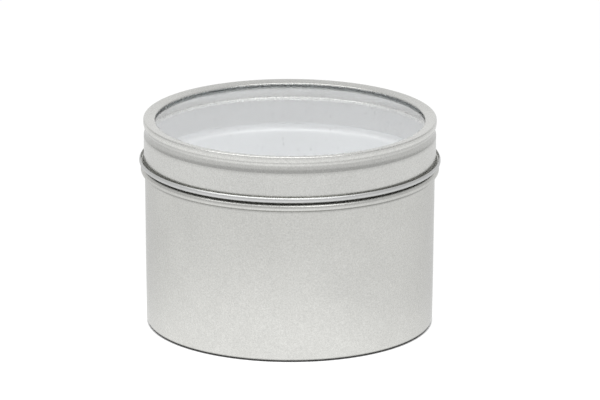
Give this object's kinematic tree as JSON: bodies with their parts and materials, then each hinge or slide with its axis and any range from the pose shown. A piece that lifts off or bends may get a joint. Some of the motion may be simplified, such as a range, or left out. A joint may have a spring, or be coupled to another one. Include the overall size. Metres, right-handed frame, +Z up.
{
  "type": "window lid tin",
  "caption": "Round drawn tinplate tin with a rolled bead, a recessed base and a slip-on lid whose rim holds a clear flat window.",
  "frame": {"origin": "centre of the base, in the plane that the tin stands on", "axes": "+Z up along the tin's axis, the way the lid lifts"},
  "size_m": [0.0764, 0.0764, 0.0534],
  "materials": {
    "tinplate": "satin bare tinplate with a fine mottled grain",
    "clear_sheet": "clear polished plastic sheet"
  },
  "bodies": {
    "tin": {"tin_body": "tinplate"},
    "lid": {"lid_rim": "tinplate", "window_disc": "clear_sheet"}
  },
  "joints": [
    {"name": "lid_lift", "type": "slide", "parent": "tin", "child": "lid", "axis": [0, 0, 1], "range_m": [0, 0.04]}
  ]
}
